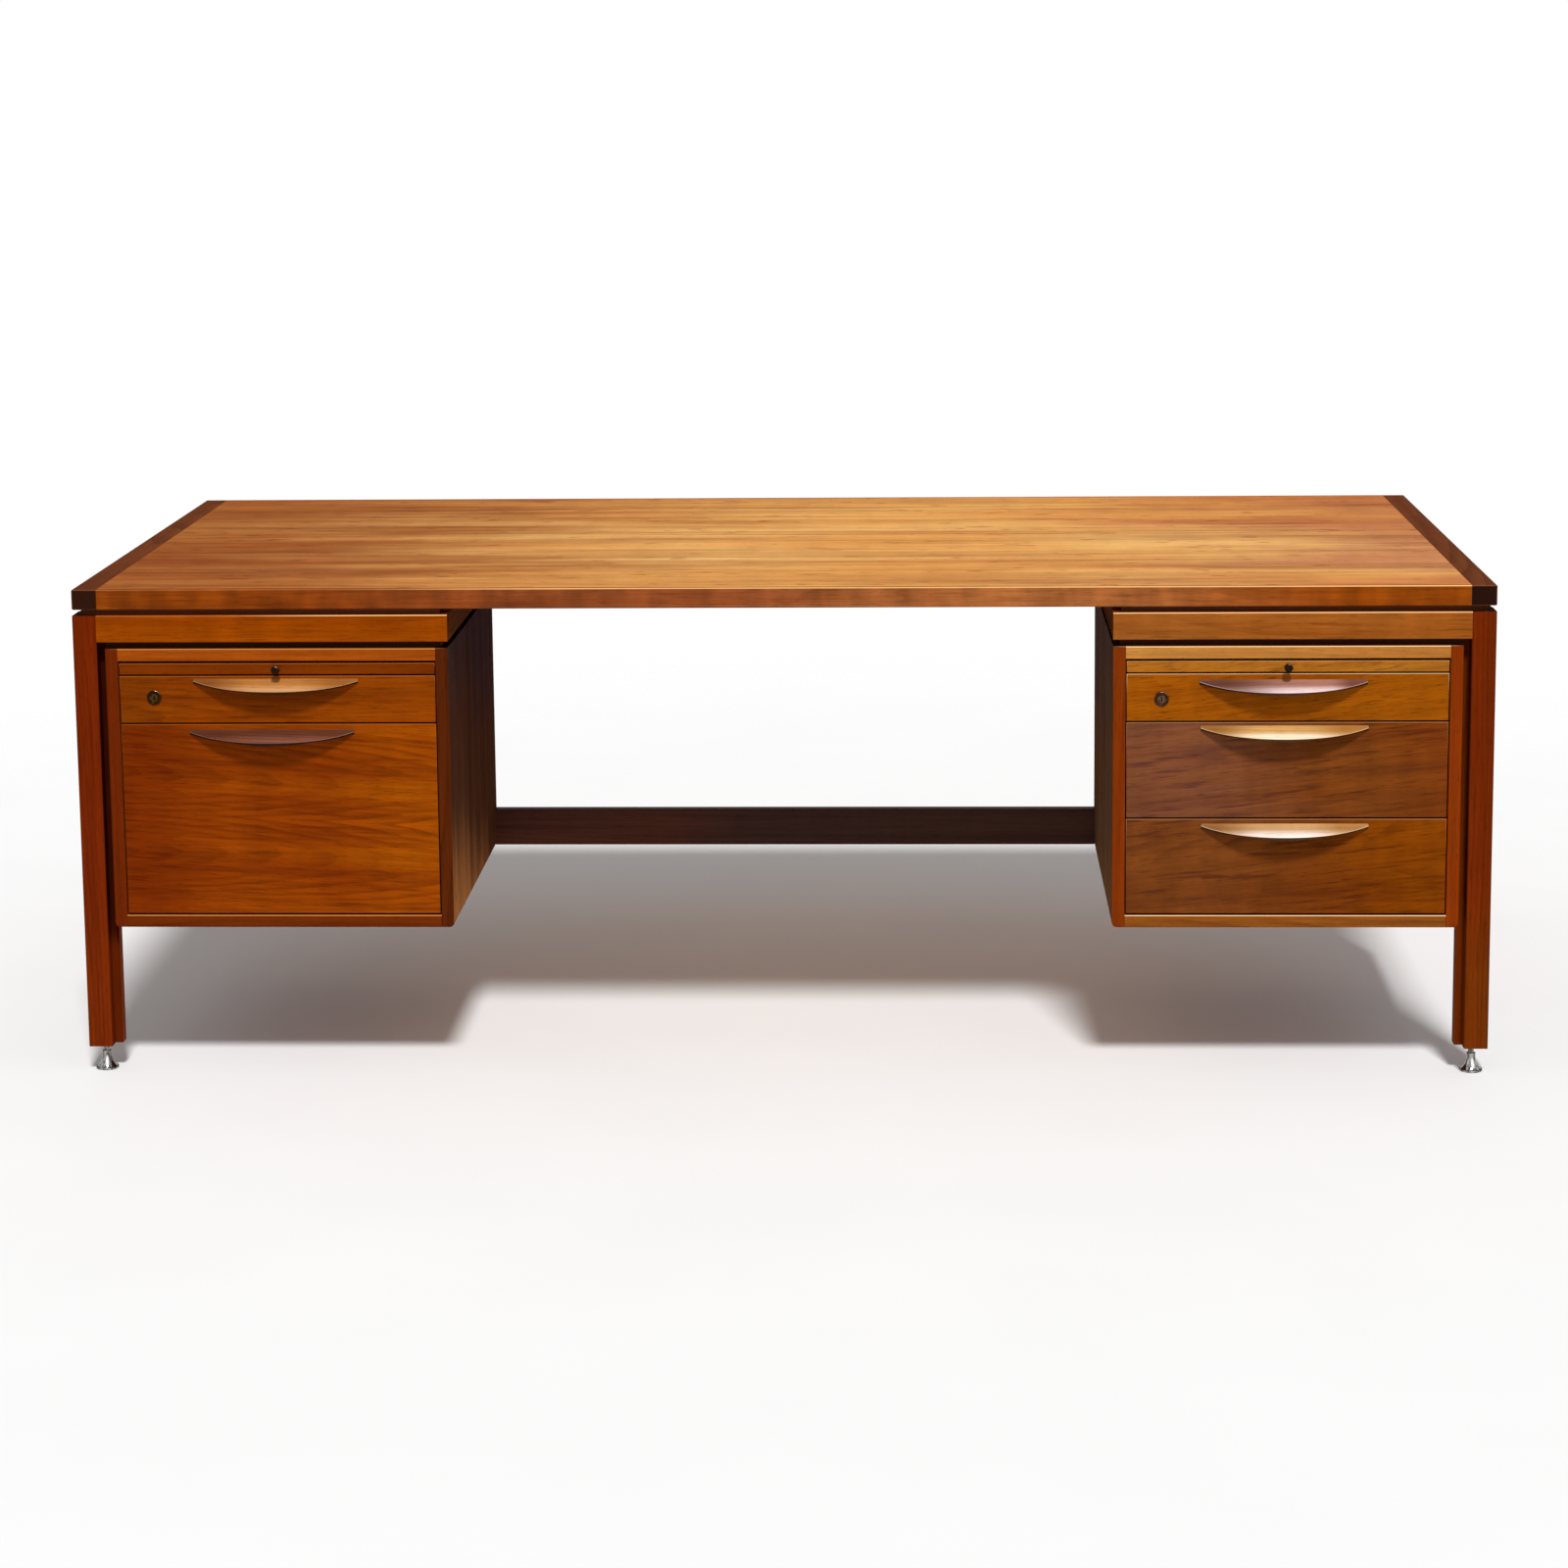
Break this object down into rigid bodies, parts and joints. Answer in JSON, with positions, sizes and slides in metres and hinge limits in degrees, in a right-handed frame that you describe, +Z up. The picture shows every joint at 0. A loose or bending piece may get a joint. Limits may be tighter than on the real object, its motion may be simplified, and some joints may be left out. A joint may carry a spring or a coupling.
{
  "type": "executive desk",
  "caption": "Wide walnut executive desk with a floating overhanging top, hung pedestals of locking drawers with crescent pulls, pull-out writing slides and levelling glides.",
  "frame": {"origin": "on the floor, under the middle of the desk's box with its pulls", "axes": "+X to the right of the person who sits at the desk, -Y towards that person, +Z up"},
  "size_m": [2.134, 1.042, 0.75],
  "materials": {
    "walnut_top": "satin lacquered walnut",
    "walnut_frame": "satin lacquered walnut",
    "walnut_front": "satin lacquered walnut",
    "rosewood": "satin lacquered dark hardwood",
    "pull_light": "hand rubbed pale walnut",
    "pull_dark": "hand rubbed dark walnut",
    "drawer_box": "sealed pale hardwood",
    "shadow_strip": "black stained hardwood",
    "chrome": "polished",
    "dark_bronze": "dark patinated",
    "lock_steel": "satin",
    "slide_steel": "zinc plated",
    "screw_steel": "plated"
  },
  "bodies": {
    "desk": {"top_panel": "walnut_top", "top_edge_lippings": "walnut_frame", "top_end_cap_left": "rosewood", "top_end_cap_right": "rosewood", "top_spacer_strips": "shadow_strip", "front_aprons": "walnut_frame", "rear_apron": "walnut_frame", "side_rails": "walnut_frame", "pedestal_rails": "walnut_frame", "pedestal_hanger_strips": "shadow_strip", "rear_stretcher": "rosewood", "assembly_screws": "screw_steel", "leg_sleeves": "screw_steel", "drawer_runners": "drawer_box", "file_slide_outer": "slide_steel", "leg_front_left": "walnut_frame", "leg_front_right": "walnut_frame", "leg_rear_left": "walnut_frame", "leg_rear_right": "walnut_frame", "pedestal_left_outer_side": "walnut_frame", "pedestal_left_inner_side": "walnut_frame", "pedestal_left_top": "walnut_frame", "pedestal_left_bottom": "walnut_frame", "pedestal_left_back": "walnut_frame", "pedestal_right_outer_side": "walnut_frame", "pedestal_right_inner_side": "walnut_frame", "pedestal_right_top": "walnut_frame", "pedestal_right_bottom": "walnut_frame", "pedestal_right_back": "walnut_frame"},
    "left_top_drawer": {"left_top_front": "walnut_front", "left_top_box": "drawer_box", "left_top_pull": "pull_light", "lock_case_left": "dark_bronze"},
    "left_file_drawer": {"left_file_front": "walnut_front", "left_file_box": "drawer_box", "left_file_pull": "pull_dark", "file_slide_inner": "slide_steel"},
    "right_top_drawer": {"right_top_front": "walnut_front", "right_top_box": "drawer_box", "right_top_pull": "pull_dark", "lock_case_right": "dark_bronze"},
    "right_middle_drawer": {"right_middle_front": "walnut_front", "right_middle_box": "drawer_box", "right_middle_pull": "pull_light"},
    "right_bottom_drawer": {"right_bottom_front": "walnut_front", "right_bottom_box": "drawer_box", "right_bottom_pull": "pull_light"},
    "file_slide_middle": {"file_slide_middle": "slide_steel"},
    "left_writing_slide": {"writing_slide_left": "walnut_front", "slide_knob_left": "dark_bronze"},
    "left_lock_plug": {"lock_plug_left": "lock_steel"},
    "left_lock_bolt": {"lock_bolt_left": "lock_steel"},
    "right_writing_slide": {"writing_slide_right": "walnut_front", "slide_knob_right": "dark_bronze"},
    "right_lock_plug": {"lock_plug_right": "lock_steel"},
    "right_lock_bolt": {"lock_bolt_right": "lock_steel"},
    "front_left_glide": {"glide_front_left": "chrome"},
    "front_right_glide": {"glide_front_right": "chrome"},
    "rear_left_glide": {"glide_rear_left": "chrome"},
    "rear_right_glide": {"glide_rear_right": "chrome"}
  },
  "joints": [
    {"name": "left_top_drawer_slide", "type": "slide", "parent": "desk", "child": "left_top_drawer", "axis": [0, -1, 0], "range_m": [0, 0.36]},
    {"name": "left_file_drawer_slide", "type": "slide", "parent": "desk", "child": "left_file_drawer", "axis": [0, -1, 0], "range_m": [0, 0.45]},
    {"name": "right_top_drawer_slide", "type": "slide", "parent": "desk", "child": "right_top_drawer", "axis": [0, -1, 0], "range_m": [0, 0.36]},
    {"name": "right_middle_drawer_slide", "type": "slide", "parent": "desk", "child": "right_middle_drawer", "axis": [0, -1, 0], "range_m": [0, 0.36]},
    {"name": "right_bottom_drawer_slide", "type": "slide", "parent": "desk", "child": "right_bottom_drawer", "axis": [0, -1, 0], "range_m": [0, 0.36]},
    {"name": "file_slide_middle_travel", "type": "slide", "parent": "desk", "child": "file_slide_middle", "axis": [0, -1, 0], "range_m": [0, 0.226]},
    {"name": "left_writing_slide_slide", "type": "slide", "parent": "desk", "child": "left_writing_slide", "axis": [0, -1, 0], "range_m": [0, 0.32]},
    {"name": "left_lock_plug_turn", "type": "hinge", "parent": "left_top_drawer", "child": "left_lock_plug", "pos_m": [-0.9465, -0.493, 0.58425], "axis": [0, -1, 0], "range_deg": [0, 90]},
    {"name": "left_lock_bolt_throw", "type": "slide", "parent": "left_top_drawer", "child": "left_lock_bolt", "axis": [-1, 0, 0], "range_m": [0, 0.00706]},
    {"name": "right_writing_slide_slide", "type": "slide", "parent": "desk", "child": "right_writing_slide", "axis": [0, -1, 0], "range_m": [0, 0.32]},
    {"name": "right_lock_plug_turn", "type": "hinge", "parent": "right_top_drawer", "child": "right_lock_plug", "pos_m": [0.5715, -0.493, 0.57875], "axis": [0, -1, 0], "range_deg": [0, 90]},
    {"name": "right_lock_bolt_throw", "type": "slide", "parent": "right_top_drawer", "child": "right_lock_bolt", "axis": [-1, 0, 0], "range_m": [0, 0.00706]},
    {"name": "front_left_glide_turn", "type": "hinge", "parent": "desk", "child": "front_left_glide", "pos_m": [-1.045, -0.473, 0], "axis": [0, 0, 1], "continuous": true},
    {"name": "front_right_glide_turn", "type": "hinge", "parent": "desk", "child": "front_right_glide", "pos_m": [1.045, -0.473, 0], "axis": [0, 0, 1], "continuous": true},
    {"name": "rear_left_glide_turn", "type": "hinge", "parent": "desk", "child": "rear_left_glide", "pos_m": [-1.045, 0.499, 0], "axis": [0, 0, 1], "continuous": true},
    {"name": "rear_right_glide_turn", "type": "hinge", "parent": "desk", "child": "rear_right_glide", "pos_m": [1.045, 0.499, 0], "axis": [0, 0, 1], "continuous": true}
  ],
  "couplings": [
    {"joint": "file_slide_middle_travel", "follows": "left_file_drawer_slide", "ratio": 0.5},
    {"joint": "left_lock_plug_turn", "follows": "left_lock_bolt_throw", "rad_per_m": 222.2},
    {"joint": "right_lock_plug_turn", "follows": "right_lock_bolt_throw", "rad_per_m": 222.2}
  ]
}
